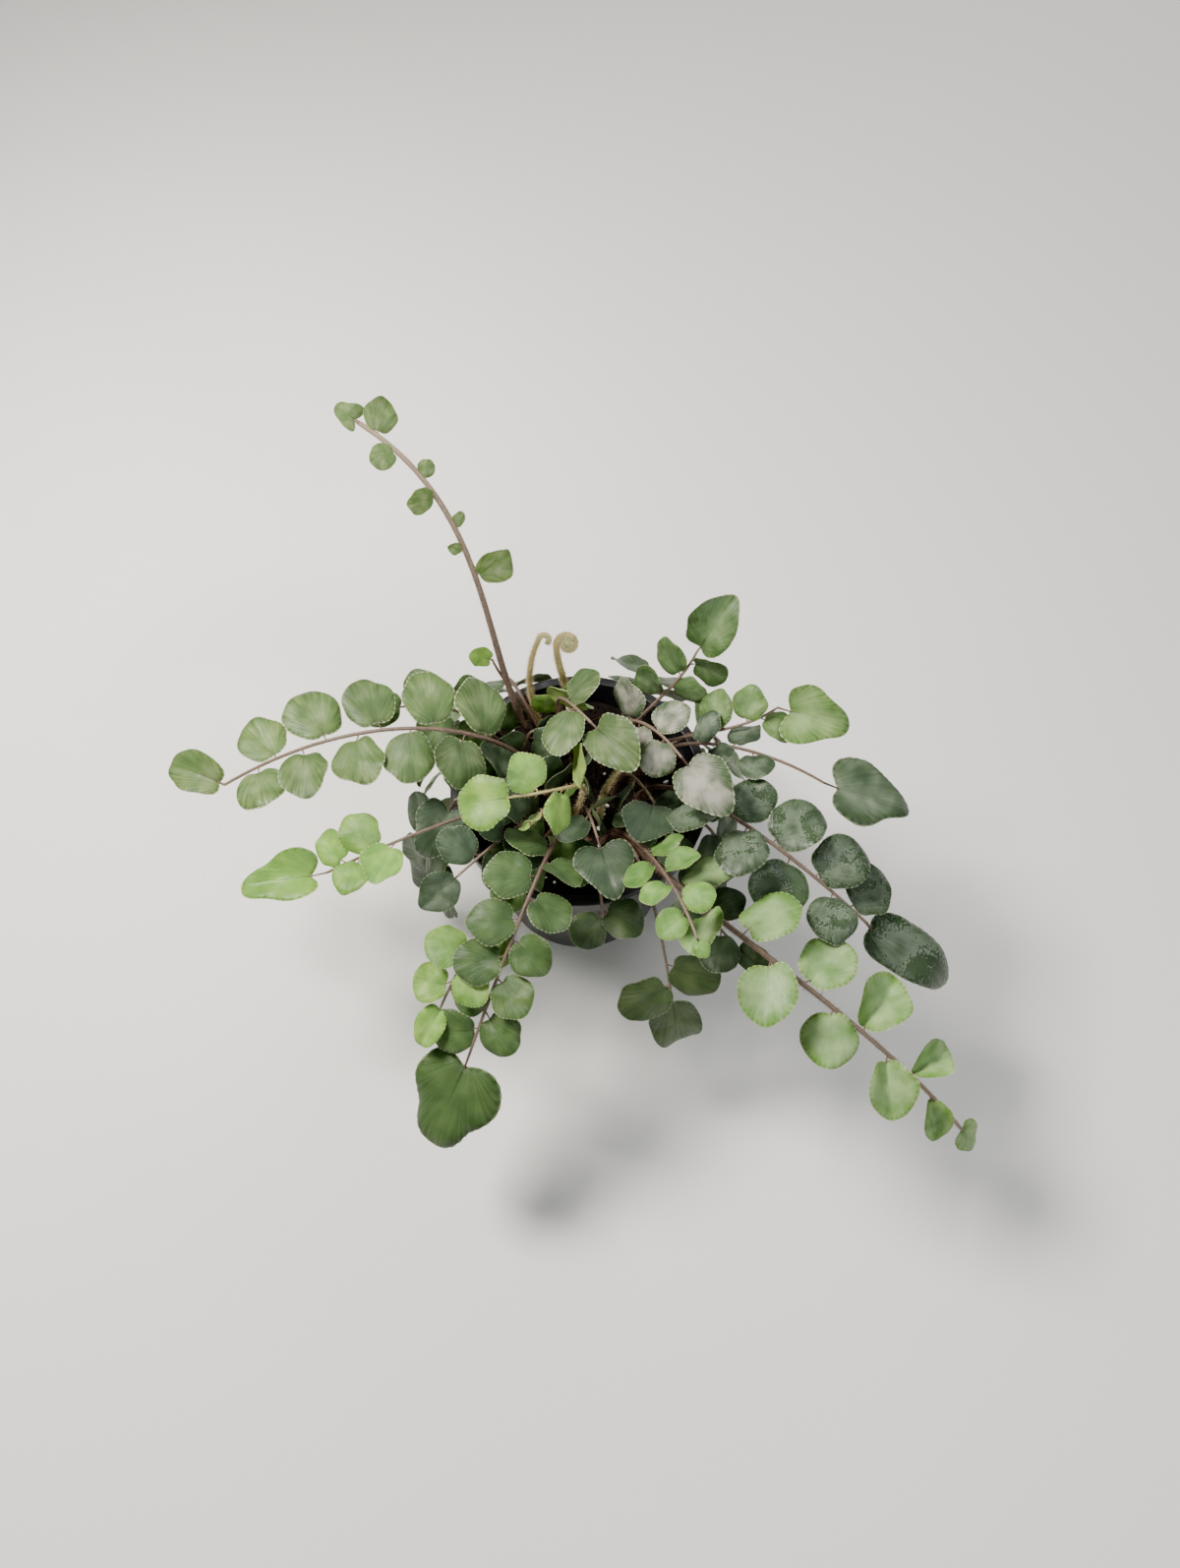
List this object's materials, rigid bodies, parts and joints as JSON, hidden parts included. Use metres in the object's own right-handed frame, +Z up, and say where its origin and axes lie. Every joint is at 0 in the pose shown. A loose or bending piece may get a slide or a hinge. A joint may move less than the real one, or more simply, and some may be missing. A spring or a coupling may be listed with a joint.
{
  "type": "potted button fern",
  "caption": "Button fern in a tapered nursery pot: arching wiry fronds with round leathery leaflets, young curled fronds, peat surface.",
  "frame": {"origin": "middle of the pot's base, on the surface it stands on", "axes": "+Z up along the pot's axis; +X to the right and +Y away as the picture shows the plant"},
  "size_m": [0.2775, 0.194, 0.2053],
  "materials": {
    "pot_plastic": "moulded black, soft shine",
    "peat": "loose, damp, with white perlite grains",
    "leaf_dark": "leathery, dark blue-green, soft sheen",
    "leaf_silver": "leathery, silvery grey-green",
    "leaf_green": "leathery, mid green",
    "leaf_lime": "young, yellow-green",
    "crozier_gold": "young stems, golden and hairy"
  },
  "bodies": {
    "root": {"pot": "pot_plastic", "soil": "peat", "frond_centre_top": "leaf_silver", "frond_silver": "leaf_silver", "frond_light_left": "leaf_lime", "frond_dark_front": "leaf_dark", "frond_dark_centre": "leaf_dark", "frond_dark_upper_left": "leaf_dark", "frond_dark_lower_left": "leaf_dark", "frond_lime_top": "leaf_lime", "frond_long_right": "leaf_lime", "frond_long_left": "leaf_silver", "frond_tall_left": "leaf_silver", "frond_right": "leaf_dark", "frond_right_upper": "leaf_dark", "frond_right_top": "leaf_green", "frond_back_top": "leaf_green", "frond_front_left": "leaf_green", "frond_front_right": "leaf_dark", "frond_front_pair": "leaf_dark", "frond_low_left": "leaf_lime", "frond_young_right": "leaf_lime", "frond_under_right": "leaf_dark", "frond_upper_left": "leaf_green", "frond_lime_left": "leaf_lime", "frond_sprig": "leaf_lime", "crozier_tall": "crozier_gold", "crozier_arched": "crozier_gold", "crozier_low": "crozier_gold", "frond_tiny": "leaf_lime", "frond_inner_back": "leaf_dark", "frond_inner_front": "leaf_dark", "frond_inner_left": "leaf_dark", "frond_inner_right": "leaf_dark", "frond_inner_top": "leaf_dark", "frond_inner_low": "leaf_green", "frond_back_left": "leaf_dark", "frond_back_right": "leaf_dark", "frond_skirt_left": "leaf_green", "frond_skirt_low_left": "leaf_dark", "frond_skirt_right": "leaf_green", "frond_skirt_low_right": "leaf_dark"}
  },
  "joints": []
}
